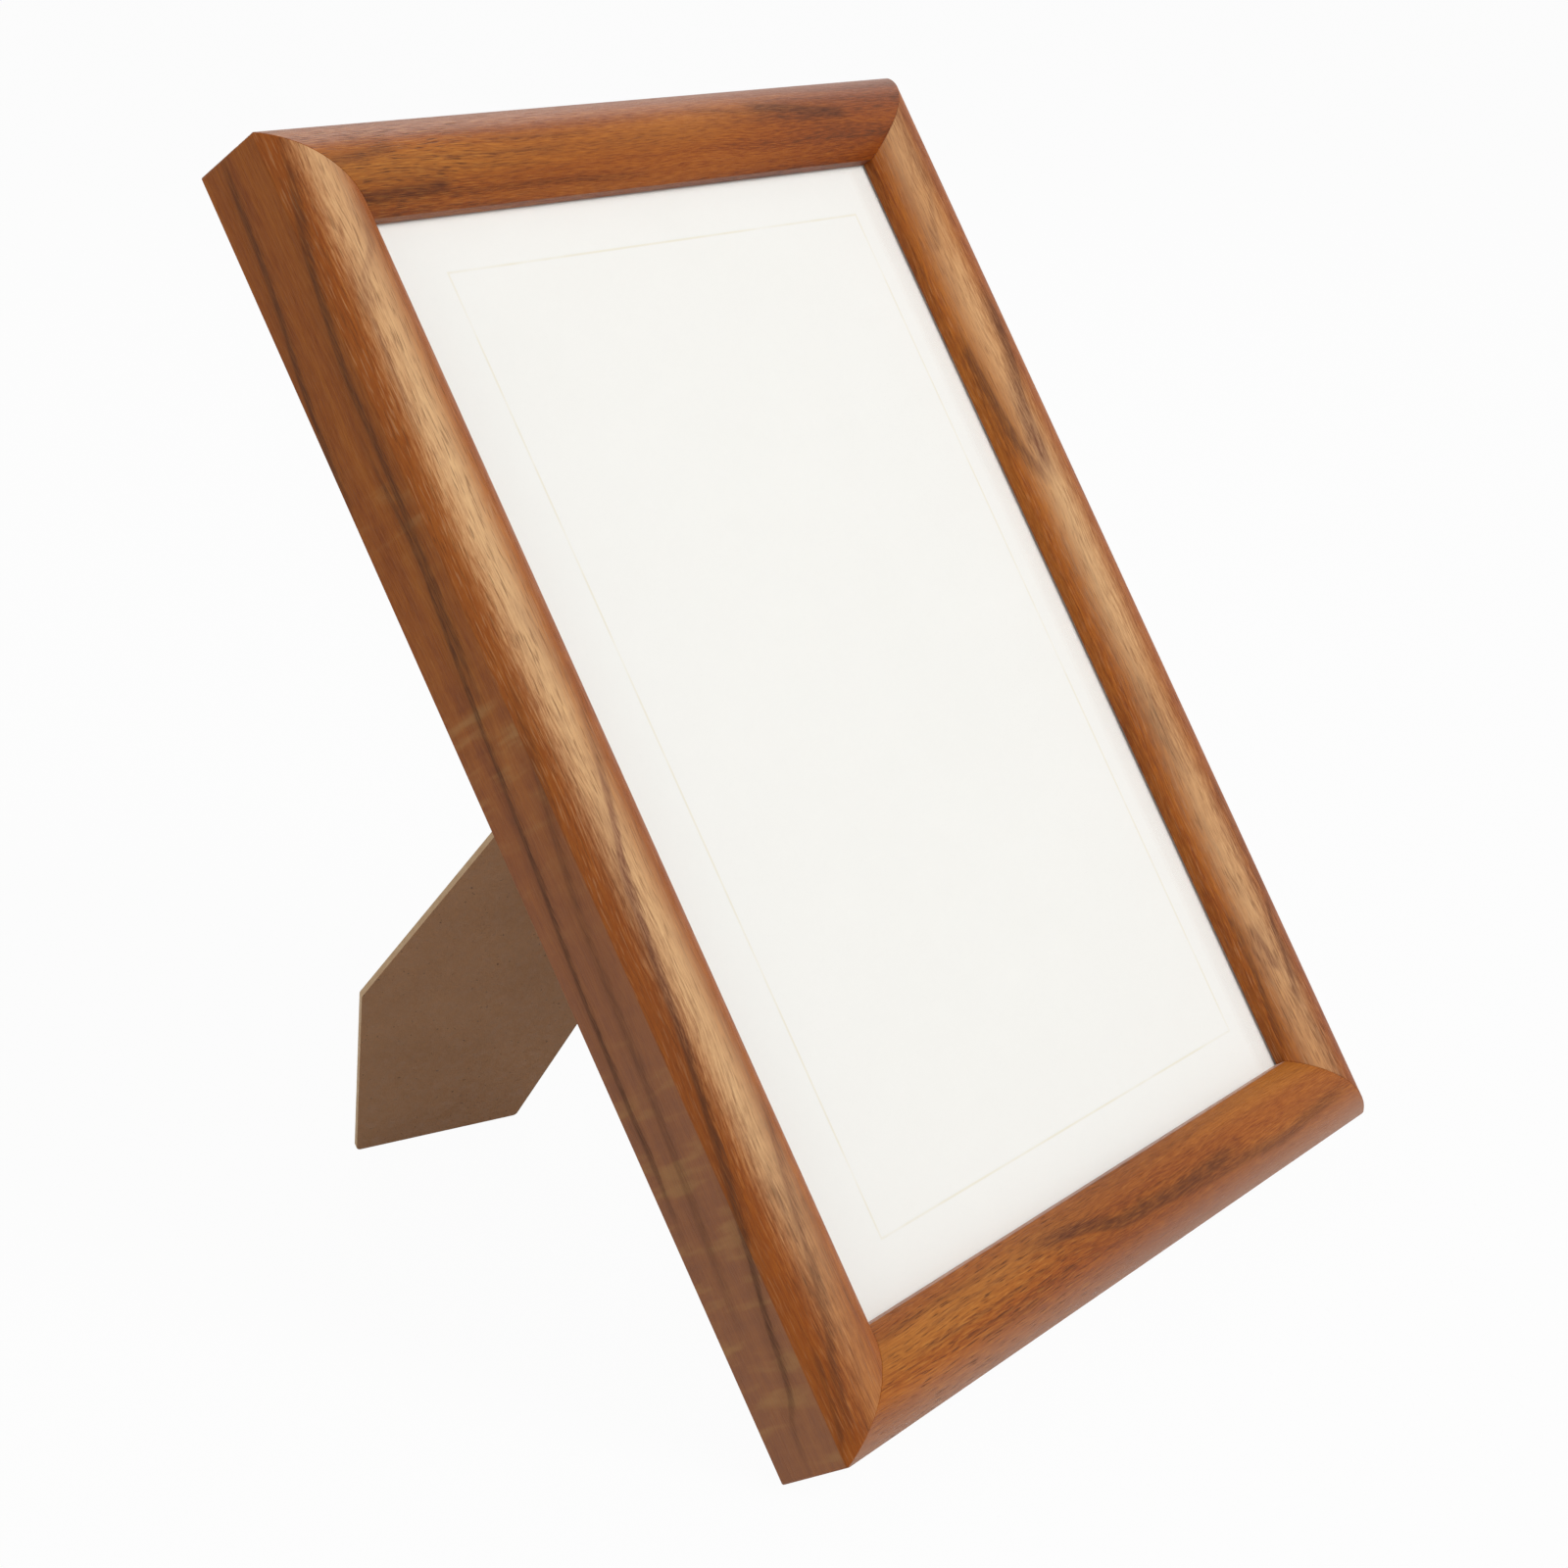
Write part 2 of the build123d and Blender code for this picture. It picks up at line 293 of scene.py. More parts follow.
def noise(tree, x, y, z, detail, rough=0.5):
    spot = addNode(tree, "ShaderNodeCombineXYZ", {"X": x, "Y": y, "Z": z}).outputs[0]
    inputs = {"Vector": spot, "Scale": 1.0, "Detail": detail, "Roughness": rough}
    return addNode(tree, "ShaderNodeTexNoise", inputs).outputs["Fac"]


def ramp(tree, value, stops):
    node = addNode(tree, "ShaderNodeValToRGB", {"Fac": value})
    bar = node.color_ramp
    while len(bar.elements) < len(stops):
        bar.elements.new(0.5)
    for element, (place, tint) in zip(bar.elements, stops):
        element.position, element.color = place, tint
    return node.outputs["Color"]


def newGroup(name, inputs, outputs):
    group = bpy.data.node_groups.new(name, "ShaderNodeTree")
    for key, value in inputs.items():
        kind = "NodeSocketVector" if value is None else "NodeSocketFloat"
        socket = group.interface.new_socket(key, in_out="INPUT", socket_type=kind)
        if value is not None:
            socket.default_value = value
    for key in outputs:
        group.interface.new_socket(key, in_out="OUTPUT", socket_type="NodeSocketFloat")
    return group, group.nodes.new("NodeGroupInput").outputs, group.nodes.new("NodeGroupOutput").inputs


def useGroup(tree, group, inputs):
    return addNode(tree, "ShaderNodeGroup", inputs, node_tree=group).outputs


def partsInMm(tree, spot):
    scaled = addNode(tree, "ShaderNodeVectorMath", {0: spot, 3: inMm}, operation="SCALE").outputs[0]
    return addNode(tree, "ShaderNodeSeparateXYZ", {0: scaled}).outputs


def newFinish(name, constants=None):
    finish = bpy.data.materials.new(name)
    finish.use_nodes = True
    shader = finish.node_tree.nodes["Principled BSDF"]
    for key, value in (constants or {}).items():
        shader.inputs[key].default_value = value
    return finish, finish.node_tree, shader


def addBump(tree, shader, height, strength, distance):
    bump = addNode(tree, "ShaderNodeBump", {"Height": height, "Strength": strength, "Distance": distance})
    tree.links.new(bump.outputs["Normal"], shader.inputs["Normal"])


# grain shared by the four rails: along and girth are in millimetres on the rail's own map
grain = {
    # waves to the millimetre, along and across, then detail and roughness
    "drift": (0.013, 0.045, 2.0, 0.5), "tone": (0.009, 0.21, 4.0, 0.6), "fibre": (0.2, 2.5, 4.0, 0.65),
    "dash": (0.16, 2.7, 2.0, 0.5), "cross": (0.25, 0.06, 2.0, 0.5),
    "wander": 7.0, "pores": (0.56, 0.68), "glints": (0.44, 0.32), "barEnds": (0.28, 0.72),
    # a streak's spread, core, halo and tapered ends
    "spread": 1.3, "core": (0.2, 1.0), "haloReach": 4.0, "haloDepth": 0.35, "taper": 0.2,
    # strengths on the flat side, then on the dome
    "sideBars": (1.0, 0.4), "sideTone": (0.4, 0.46), "sideBase": (0.325, 0.27), "sideFibre": (0.36, 0.62),
    "sideDashes": (0.3, 1.0),
    # where the dome and its shoulder begin, how far fibres fray a line, and how much of each tint goes in
    "crest": (21.5, 22.1), "paintedShadeAndSheenStart": 24.0, "fray": 2.2, "heartFray": 4.0, "fade": (1.0, 0.7),
    "barTone": 0.16, "heartBars": 0.45, "heartFibre": 1.2, "paintedShadeAndSheenDepth": 0.6, "glintDepth": 0.3,
    "poreDepth": 0.7, "bandDepth": 0.55, "mauveGain": 1.5, "streakDepth": 0.92,
    "gloss": (0.5, 0.41), "poreRough": 0.1, "streakRough": 0.12, "poreSink": 0.6, "bump": (0.5, 0.15 * mm),
    "stops": {"dark": 0.30, "deep": 0.44, "warm": 0.56, "light": 0.76},
    "spare": 20.0, "tall": 60.0,  # a drawn line's spare ends, and the most girth it can show
}


def makeGrainGround():
    group, inp, out = newGroup(
        "grainGround", {"Along": 0, "Girth": 0, "Seed": 0}, ("Tone", "Fibre", "Pores", "Glints", "Bars"),
    )
    girth = inp["Girth"]

    def waves(key, across):
        length, width, detail, rough = grain[key]
        along = times(group, inp["Along"], length)
        return noise(group, along, times(group, across, width), inp["Seed"], detail, rough)

    wander = times(group, minus(group, waves("drift", girth), 0.5), grain["wander"])
    wavy = plus(group, girth, wander)
    dash = waves("dash", wavy)
    for key, value in (
        ("Tone", waves("tone", wavy)), ("Fibre", waves("fibre", wavy)),
        ("Pores", between(group, dash, *grain["pores"])), ("Glints", between(group, dash, *grain["glints"])),
        ("Bars", between(group, waves("cross", girth), *grain["barEnds"], -0.5, 0.5, "LINEAR")),
    ):
        group.links.new(value, out[key])
    return group


# one dark growth line along a drawn curve, with a crisp side and a feathered side
def makeGrainStreak():
    group, inp, out = newGroup(
        "grainStreak",
        {"Along": 0, "Girth": 0, "Line": 10, "Begin": 0, "End": 100, "Width": 1, "Feather": 2, "Depth": 1},
        ("Mask",),
    )
    run = between(group, inp["Along"], inp["Begin"], inp["End"], kind="LINEAR")
    away = minus(group, inp["Girth"], inp["Line"])
    away = sums(group, "DIVIDE", away, times(group, inp["Width"], grain["spread"]))
    soft = sums(group, "DIVIDE", sums(group, "MAXIMUM", away, 0.0), inp["Feather"])
    crisp = sums(group, "MAXIMUM", times(group, away, -1.0), 0.0)
    body = between(group, sums(group, "MAXIMUM", soft, crisp), *grain["core"], 1.0, 0.0)
    halo = between(group, sums(group, "ABSOLUTE", away), 0.0, grain["haloReach"], grain["haloDepth"], 0.0)
    body = sums(group, "MAXIMUM", body, halo)
    rest = minus(group, 1.0, run)
    ends = times(group, *[between(group, end, 0.0, grain["taper"]) for end in (run, rest)])
    mask = times(group, times(group, body, ends), inp["Depth"])
    group.links.new(mask, out["Mask"])
    return group


grainGround = makeGrainGround()
grainStreak = makeGrainStreak()

# the moulding's sizes, tints and lacquer
moulding = {
    "wide": 25 * mm, "sideHigh": 21.85 * mm, "ledgeHigh": 18.5 * mm, "landWide": 19 * mm,
    "crownHigh": 29.85 * mm, "crownRadius": 11.5 * mm, "crownTurn": radians(60), "crownSteps": 18,
    "shoulderSteps": 10, "arrisEase": 0.23 * mm, "sightEase": 0.17 * mm, "backEase": 0.3 * mm,
    "mitreEase": 0.12 * mm, "cornerRadius": 1.2 * mm, "cornerTurns": (9, 18, 27, 36),
    "smoothTurn": 25,
    "light": srgb(186, 108, 36), "warm": srgb(156, 80, 22), "deep": srgb(130, 57, 15),
    "dark": srgb(80, 35, 18), "streak": srgb(66, 26, 18), "mauve": srgb(112, 56, 50),
    # the gold tint is the stiles' pale heart painted as a highlight; honey is the top and bottom rails' pale heart
    "paleHeartAndHighlight": srgb(223, 180, 134), "honey": srgb(204, 140, 66), "bar": srgb(180, 132, 84),
    # on the next line: the shoulder tint is painted shade on the dome's outer shoulder, and the sheen tint after
    # it a painted sheen
    "shoulder": srgb(134, 62, 14), "paintedSheen": srgb(160, 114, 91),
    "lacquer": {  # pale where it turns away, its shine spread across the rail by the fibres
        "Specular IOR Level": 0.36, "Specular Tint": (1.0, 0.88, 0.45, 1), "Sheen Roughness": 0.17,
        "Sheen Tint": (1.0, 0.9, 0.86, 1), "Anisotropic": 0.35, "Anisotropic Rotation": 0.25,
    },
}

# each rail's grain, drawn in millimetres: middle is the pale heart's girth at places along the rail, the heart
# being a painted highlight on the stiles; the five curves after it are strengths there, the last one of a painted
# sheen on the flat side, and a streak is a line of places and girths, then width, feather and depth
railGrain = {
    "left_stile": {
        "seed": 1.7, "length": 337, "heart": "paleHeartAndHighlight",
        "brow": "shoulder", "paintedShadeAndSheenEnd": 30.5, "half": 8.8, "sheen": 0.06,
        "middle": ((0, 34.5), (40, 35.5), (90, 34.6), (170, 33.2), (260, 33.4), (300, 34.8), (337, 34.5)),
        "paleHeartAndHighlight": ((0, 0.12), (25, 0.16), (50, 0.35), (80, 0.6), (110, 0.66), (150, 0.62), (215, 0.7),
                 (255, 0.74), (285, 0.66), (312, 0.64), (337, 0.52)),
        "dashes": ((0, 0.35), (60, 0.3), (120, 0.45), (180, 0.6), (300, 0.6), (337, 0.4)),
        "bars": ((0, 0.5), (20, 0.9), (55, 1.0), (90, 0.8), (125, 0.3), (165, 0.5), (185, 0.9),
                 (200, 0.5), (220, 0.15), (240, 0.5), (262, 0.12), (337, 0.1)),
        "lift": ((0, 0.04), (120, 0.0), (160, 0.03), (220, 0.05), (337, 0.03)),
        "paintedSheen": ((0, 0.52), (60, 0.5), (110, 0.44), (160, 0.26), (210, 0.06), (337, 0.0)),
        "streaks": (
            (((0, 22), (10, 26), (22, 28), (30, 30.5), (45, 33.5), (62, 36), (80, 40),
              (92, 42.5)), 0.9, 2.2, 0.6),
            (((2, 22), (14, 24.5), (30, 26)), 0.6, 2.0, 0.55),
            (((42, 32), (55, 32.6), (70, 33.6)), 0.3, 1.5, 0.5),
            (((-6, 9), (10, 10.5), (22, 15), (35, 17), (57, 21.5), (70, 23.5), (100, 27), (130, 29.5),
              (142, 30.5), (155, 33.5), (168, 36), (180, 38), (194, 43)), 0.9, 2.0, 0.9),
            (((25, 6.5), (50, 9), (80, 11.5), (110, 13.5), (135, 15), (155, 18), (175, 22), (190, 24),
              (208, 26.5)), 1.3, 1.8, 0.5),
            (((45, 1.2), (70, 3.5), (100, 4.5), (130, 6), (150, 8), (180, 10.5), (205, 12.5), (220, 14),
              (230, 15), (240, 14.8), (255, 14), (278, 13.6)), 0.8, 1.8, 0.9),
            (((180, 13.8), (210, 14.8), (228, 16), (258, 17.3), (275, 17.5), (290, 19.5), (305, 22),
              (318, 25), (330, 27.3), (345, 29)), 1.1, 2.0, 0.85),
            (((240, 0.5), (265, 1), (280, 2.5), (295, 5), (310, 7), (325, 8), (345, 10)), 1.0, 1.8, 0.85),
            (((284, 29.5), (294, 32), (300, 36), (306, 39), (318, 40.5)), 1.3, 1.6, 0.4),
            (((255, 29.3), (270, 29.6), (290, 30)), 0.35, 1.5, 0.5),
            (((188, 39), (200, 36), (214, 32.5)), 1.6, 1.5, 0.25),
        ),
    },
    "right_stile": {
        "seed": 5.3, "length": 337, "heart": "paleHeartAndHighlight",
        "brow": "shoulder", "paintedShadeAndSheenEnd": 30.5, "half": 8.5, "sheen": 0.1,
        "middle": ((0, 44), (70, 43.5), (150, 43.5), (200, 43), (260, 44), (337, 43)),
        "paleHeartAndHighlight": ((0, 0.28), (25, 0.38), (75, 0.52), (105, 0.46), (130, 0.36), (160, 0.54), (200, 0.58),
                 (230, 0.42), (260, 0.48), (290, 0.36), (310, 0.44), (337, 0.34)),
        "dashes": ((0, 0.4), (30, 0.6), (120, 0.4), (200, 0.4), (337, 0.35)),
        "bars": ((0, 0.2), (70, 0.5), (110, 0.45), (190, 0.5), (215, 0.2), (280, 0.4), (337, 0.2)),
        "lift": ((0, 0.0), (110, 0.0), (130, -0.03), (150, 0.02), (337, 0.0)),
        "paintedSheen": ((0, 0.05), (337, 0.05)),
        "streaks": (
            (((24, 51.2), (45, 50.5), (58, 49.5), (74, 50.2)), 0.8, 1.8, 0.65),
            (((46, 46.6), (58, 47.6), (68, 49)), 0.6, 1.6, 0.5),
            (((48, 42.8), (56, 44.4), (66, 46)), 1.3, 1.4, 0.7),
            (((36, 42), (45, 40.5), (52, 39), (60, 38.5), (68, 36), (74, 32)), 1.0, 1.6, 0.75),
            (((40, 38.3), (50, 39.3), (60, 38.8)), 0.6, 1.4, 0.5),
            (((66, 34.5), (90, 35.2), (112, 34.8)), 1.6, 1.4, 0.45),
            (((201, 42.5), (210, 46), (220, 48), (235, 49.5), (258, 50.5)), 0.9, 3.2, 0.8),
            (((201, 42.5), (215, 42), (230, 41), (240, 38.5), (250, 37), (270, 36.3)), 1.0, 4.2, 0.85),
            (((212, 50.3), (226, 51.6), (245, 52)), 0.8, 1.5, 0.5),
            (((278, 46), (290, 43), (299, 39.5)), 0.9, 1.6, 0.4),
            (((292, 38.5), (312, 40), (340, 37)), 1.4, 1.6, 0.45),
            (((110, 43.5), (125, 44.5), (142, 43)), 0.9, 1.8, 0.3),
        ),
    },
    "top_rail": {
        "seed": 9.1, "length": 250, "heart": "honey",
        "brow": "shoulder", "paintedShadeAndSheenEnd": 30.5, "half": 8.0, "sheen": 0.48,
        "middle": ((0, 40), (60, 40), (130, 38), (180, 36), (250, 36)),
        "paleHeartAndHighlight": ((0, 0.2), (20, 0.28), (50, 0.25), (90, 0.14), (140, 0.16), (165, 0.08),
                 (190, 0.0), (250, 0.0)),
        "dashes": ((0, 0.6), (14, 1.1), (45, 1.2), (66, 0.6), (95, 0.35), (140, 0.3),
                   (175, 0.1), (250, 0.0)),
        "bars": ((0, 0.1), (120, 0.1), (150, 0.25), (180, 0.1), (250, 0.05)),
        "lift": ((0, 0.02), (100, 0.02), (150, 0.025), (175, -0.01), (200, -0.05), (250, -0.06)),
        "paintedSheen": ((0, 0.05), (250, 0.05)),
        "streaks": (
            (((14, 47.5), (32, 46.8), (54, 46)), 2.2, 1.3, 0.85),
            (((8, 38), (20, 37), (36, 34)), 1.6, 1.4, 0.6),
            (((26, 38), (60, 39.5), (96, 39.4)), 0.35, 1.5, 0.45),
            (((30, 41.5), (62, 42.3), (88, 43)), 0.35, 1.5, 0.4),
            (((165, 33), (185, 34.5), (196, 36), (216, 38)), 1.8, 1.6, 0.85),
            (((140, 32), (165, 34.5), (190, 38.5), (206, 39.5)), 0.7, 1.6, 0.45),
            (((60, 35.3), (84, 36.3), (108, 36)), 0.4, 1.6, 0.4),
            (((30, 48.7), (80, 48), (130, 49.4)), 0.9, 1.5, 0.4),
        ),
    },
    "bottom_rail": {
        "seed": 13.9, "length": 250, "heart": "honey",
        "brow": "paintedSheen", "paintedShadeAndSheenEnd": 37.0, "half": 8.0, "sheen": 0.5,
        "middle": ((0, 42), (60, 44), (120, 49), (200, 50), (250, 49)),
        "paleHeartAndHighlight": ((0, 0.18), (20, 0.28), (60, 0.3), (88, 0.22), (105, 0.14), (150, 0.14), (185, 0.24),
                 (222, 0.3), (250, 0.26)),
        "dashes": ((0, 0.3), (18, 0.7), (40, 1.1), (85, 1.1), (110, 0.6), (150, 0.4),
                   (180, 0.25), (250, 0.12)),
        "bars": ((0, 0.1), (60, 0.15), (250, 0.1)),
        "lift": ((0, 0.05), (70, 0.07), (100, 0.02), (145, 0.0), (180, 0.05), (225, 0.08), (250, 0.05)),
        "paintedSheen": ((0, 0.05), (250, 0.05)),
        "streaks": (
            (((74, 46.8), (88, 45), (95, 44), (103, 42.5), (110, 40.5), (118, 38.5), (130, 38), (145, 37),
              (160, 37.5), (186, 37.6)), 1.8, 2.2, 0.82),
            (((118, 38.8), (140, 37.3), (150, 36), (165, 35), (180, 34.5), (200, 33), (215, 34.5),
              (246, 35.2)), 1.8, 1.8, 0.62),
            (((16, 46), (40, 47.5), (60, 47), (82, 46.3)), 0.55, 1.6, 0.55),
            (((22, 40), (60, 39), (96, 40.2)), 0.35, 1.6, 0.5),
            (((30, 43), (66, 43.6), (100, 42)), 0.3, 1.6, 0.45),
            (((36, 36.6), (70, 36), (104, 37)), 0.3, 1.6, 0.45),
            (((48, 34), (62, 33.6), (80, 34.2)), 0.5, 1.5, 0.4),
            (((118, 43.2), (136, 42), (156, 41)), 0.35, 1.6, 0.4),
        ),
    },
}


# a curve node that gives the girth of a drawn line at each place along the rail
def drawnLine(tree, share, points, length, spare, tall):
    node = addNode(tree, "ShaderNodeFloatCurve", {"Value": share})
    line = node.mapping.curves[0].points
    spots = [((along + spare) / (length + 2 * spare), girth / tall) for along, girth in points]
    line[0].location, line[1].location = spots[0], spots[-1]
    for spot in spots[1:-1]:
        line.new(*spot)
    node.mapping.update()
    return times(tree, node.outputs["Value"], tall)


def woodFinish(name, looks):
    finish, tree, shader = newFinish(name, {**moulding["lacquer"], "Sheen Weight": looks["sheen"]})
    grainMap = addNode(tree, "ShaderNodeUVMap", uv_map="grain").outputs[0]
    split = addNode(tree, "ShaderNodeSeparateXYZ", {0: grainMap}).outputs
    along, girth = times(tree, split["X"], inMm), times(tree, split["Y"], inMm)
    ground = useGroup(tree, grainGround, {"Along": along, "Girth": girth, "Seed": looks["seed"]})
    fibre = ground["Fibre"]
    fuzz = minus(tree, fibre, 0.5)
    frayed = plus(tree, girth, times(tree, fuzz, grain["fray"]))  # fibres fray the streaks
    length, spare, tall = looks["length"], grain["spare"], grain["tall"]
    share = between(tree, along, -spare, length + spare, kind="LINEAR")
    crest = between(tree, girth, *grain["crest"])  # 0 on the flat side, 1 on the dome
    flat = minus(tree, 1.0, crest)

    def drawn(points, high):
        return drawnLine(tree, share, points, length, spare, high)

    def bySide(key):
        return between(tree, crest, 0.0, 1.0, *grain[key])

    run = {}
    for key in ("paleHeartAndHighlight", "dashes", "bars", "lift", "paintedSheen"):  # moved up by half, as a strength can be below 0
        points = [(place, strength + 0.5) for place, strength in looks[key]]
        run[key] = minus(tree, drawn(points, 2.0), 0.5)
    streaks = None
    for points, width, feather, depth in looks["streaks"]:
        mask = useGroup(tree, grainStreak, {
            "Along": along, "Girth": frayed, "Line": drawn(points, tall), "Begin": points[0][0],
            "End": points[-1][0], "Width": width, "Feather": feather, "Depth": depth,
        })["Mask"]
        streaks = mask if streaks is None else sums(tree, "MAXIMUM", streaks, mask)
    streaks = times(tree, streaks, between(tree, fibre, 0.4, 0.6, *grain["fade"]))

    # ground tone
    bars = times(tree, times(tree, ground["Bars"], run["bars"]), bySide("sideBars"))
    value = plus(tree, times(tree, ground["Tone"], bySide("sideTone")), bySide("sideBase"))
    value = plus(tree, value, run["lift"])
    value = plus(tree, value, times(tree, fuzz, bySide("sideFibre")))
    value = plus(tree, value, times(tree, bars, grain["barTone"]))
    tint = ramp(tree, value, [(stop, moulding[key]) for key, stop in grain["stops"].items()])

    # pale heart of the dome, painted as a highlight on the stiles, and its outer shoulder, painted shade on the
    # stiles and top rail and a painted sheen on the bottom rail
    place = plus(tree, frayed, times(tree, fuzz, grain["heartFray"]))
    heart = sums(tree, "ABSOLUTE", minus(tree, place, drawn(looks["middle"], tall)))
    heart = between(tree, heart, 0.0, looks["half"], 1.0, 0.0)
    figure = plus(tree, times(tree, fuzz, grain["heartFibre"]), 1.0)
    figure = plus(tree, times(tree, bars, grain["heartBars"]), figure)
    heart = times(tree, times(tree, heart, run["paleHeartAndHighlight"]), figure, clamp=True)
    tint = mixTint(tree, heart, tint, moulding[looks["heart"]])
    # the outer shoulder is tinted as painted shade on the stiles and top rail, and as a painted sheen on the
    # bottom rail
    shoulder = times(tree, between(tree, place, looks["paintedShadeAndSheenEnd"], grain["paintedShadeAndSheenStart"]), crest)
    tint = mixTint(tree, times(tree, shoulder, grain["paintedShadeAndSheenDepth"]), tint, moulding[looks["brow"]])

    # glints and pores, a painted sheen and bars on the flat side, then the streaks
    dashes = times(tree, run["dashes"], bySide("sideDashes"))
    for key, depth, colour in (("Glints", "glintDepth", looks["heart"]), ("Pores", "poreDepth", "dark")):
        marks = times(tree, times(tree, ground[key], dashes), grain[depth])
        tint = mixTint(tree, marks, tint, moulding[colour])
    tint = mixTint(tree, times(tree, flat, run["paintedSheen"]), tint, moulding["paintedSheen"])
    bands = between(tree, times(tree, flat, bars), 0.0, 0.5, 0.0, grain["bandDepth"])
    tint = mixTint(tree, bands, tint, moulding["bar"])
    # streaks pale to mauve where the pale heart is, which on the stiles paints the highlight over them
    mauve = times(tree, heart, grain["mauveGain"], clamp=True)
    line = mixTint(tree, mauve, moulding["streak"], moulding["mauve"])
    tint = mixTint(tree, times(tree, streaks, grain["streakDepth"]), tint, line)
    tree.links.new(tint, shader.inputs["Base Color"])

    gloss = between(tree, fibre, 0.3, 0.7, *grain["gloss"], kind="LINEAR")
    rough = times(tree, ground["Pores"], grain["poreRough"])
    rough = plus(tree, rough, times(tree, streaks, grain["streakRough"]))
    tree.links.new(plus(tree, gloss, rough), shader.inputs["Roughness"])
    lay = addNode(tree, "ShaderNodeTangent", direction_type="UV_MAP", uv_map="grain")
    tree.links.new(lay.outputs[0], shader.inputs["Tangent"])
    addBump(tree, shader, minus(tree, fibre, times(tree, ground["Pores"], grain["poreSink"])), *grain["bump"])
    return finish


# section of the moulding, drawn with the pen and run to length, then mitred
def makeRail(name, length):
    m = moulding
    wide, side = m["wide"], m["sideHigh"]
    half = m["crownTurn"] / 2
    heart = Vector((wide / 2, m["crownHigh"] - m["crownRadius"]))
    tilt = Vector((-sin(half), cos(half)))
    crownStart = heart + tilt * m["crownRadius"]
    reach = crownStart - Vector((0, side))
    shoulderRadius = reach.length_squared / (2 * tilt.dot(reach))
    shoulder = crownStart - tilt * shoulderRadius
    sweep = acos((Vector((0, side)) - shoulder).normalized().dot(tilt))
    rail = penDown(name, 0, 0)
    penLine(rail, 0, side)
    penArc(shoulder.x, shoulder.y, -sweep, m["shoulderSteps"])
    penArc(heart.x, heart.y, -2 * half, m["crownSteps"])
    penArc(wide - shoulder.x, shoulder.y, -sweep, m["shoulderSteps"])
    penLine(rail, wide, m["ledgeHigh"])
    penLine(rail, m["landWide"], m["ledgeHigh"])
    penLine(rail, m["landWide"], 0)
    penLine(rail, 0, 0)
    spots = [vert.co for vert in bmesh.from_edit_mesh(rail.data).verts]
    crest = sorted({(round(spot.x, 7), round(spot.y, 7)) for spot in spots if spot.y > side - hair})
    penFill(rail, length)

    def longEdge(x, y):
        def wanted(edge):
            spot = midPoint(edge)
            run = abs(edge.verts[0].co.z - edge.verts[1].co.z)
            return run > length / 2 and max(abs(spot.x - x), abs(spot.y - y)) < 2 * hair
        return wanted

    ease(rail, longEdge(0, side), m["arrisEase"], 3)
    ease(rail, longEdge(wide, side), m["sightEase"], 3)
    ease(rail, longEdge(0, 0), m["backEase"], 3)
    ease(rail, longEdge(m["landWide"], 0), m["backEase"], 2)

    # mitres, and the worn outer corners
    for end, way in ((0, 1), (length, -1)):
        cuts = [((0, 0, end), (1, 0, -way))]
        for turn in m["cornerTurns"]:
            out = Vector((-cos(radians(turn)), 0, -way * sin(radians(turn))))
            spot = Vector((0, 0, end)) + (Vector((1, 0, way)) + out) * m["cornerRadius"]
            cuts.append((spot, out))
        for spot, normal in cuts:
            selectAll()
            bpy.ops.mesh.bisect(plane_co=spot, plane_no=normal, clear_outer=True)
            bpy.ops.mesh.edge_face_add()  # one face over the cut

    def mitreEdge(edge):
        faces = [face.normal for face in edge.link_faces]
        cuts = [n for n in faces if n.x > 0.6 and abs(n.z) > 0.6]
        return len(cuts) == 1 and midPoint(edge).y > 5 * hair

    ease(rail, mitreEdge, m["mitreEase"], 1)
    putDown()
    return rail, crest


# the grain map: along the rail, and round its girth from the back outer edge
def layGrain(rail, crest, flip, length):
    side = moulding["sideHigh"]
    lengths = [0.0]
    for first, second in zip(crest, crest[1:]):
        lengths.append(lengths[-1] + (Vector(second) - Vector(first)).length)

    def domeGirth(x):
        for number in range(1, len(crest)):
            if x <= crest[number][0] or number == len(crest) - 1:
                (x0, _), (x1, _) = crest[number - 1], crest[number]
                share = min(1, max(0, (x - x0) / max(x1 - x0, 1e-7)))
                return lengths[number - 1] + share * (lengths[number] - lengths[number - 1])

    layer = rail.data.uv_layers.new(name="grain")
    for face in rail.data.polygons:
        normal = face.normal
        for loop in face.loop_indices:
            spot = rail.data.vertices[rail.data.loops[loop].vertex_index].co
            if normal.y < -0.7:
                girth = -spot.x
            elif normal.x < -0.3 and face.center.y < side:
                girth = spot.y
            elif normal.x > 0.9 or face.center.y < side - 0.3 * mm:
                girth = side + lengths[-1] + side - spot.y
            else:
                girth = side + domeGirth(spot.x)
            layer.data[loop].uv = (length - spot.z if flip else spot.z, girth)


railRuns = {
    "left_stile": (acrossFrame, frameHigh, frameWide, True),
    "right_stile": (-acrossFrame, frameHigh, frameWide, False),
    "top_rail": (-upFrame, frameWide, frameHigh, True),
    "bottom_rail": (upFrame, frameWide, frameHigh, False),
}
nailSlot = {
    "thick": 0.66 * mm, "wing": 5.6 * mm, "deep": 8.1 * mm, "spread": radians(52), "shares": (0.2, 0.5),
}


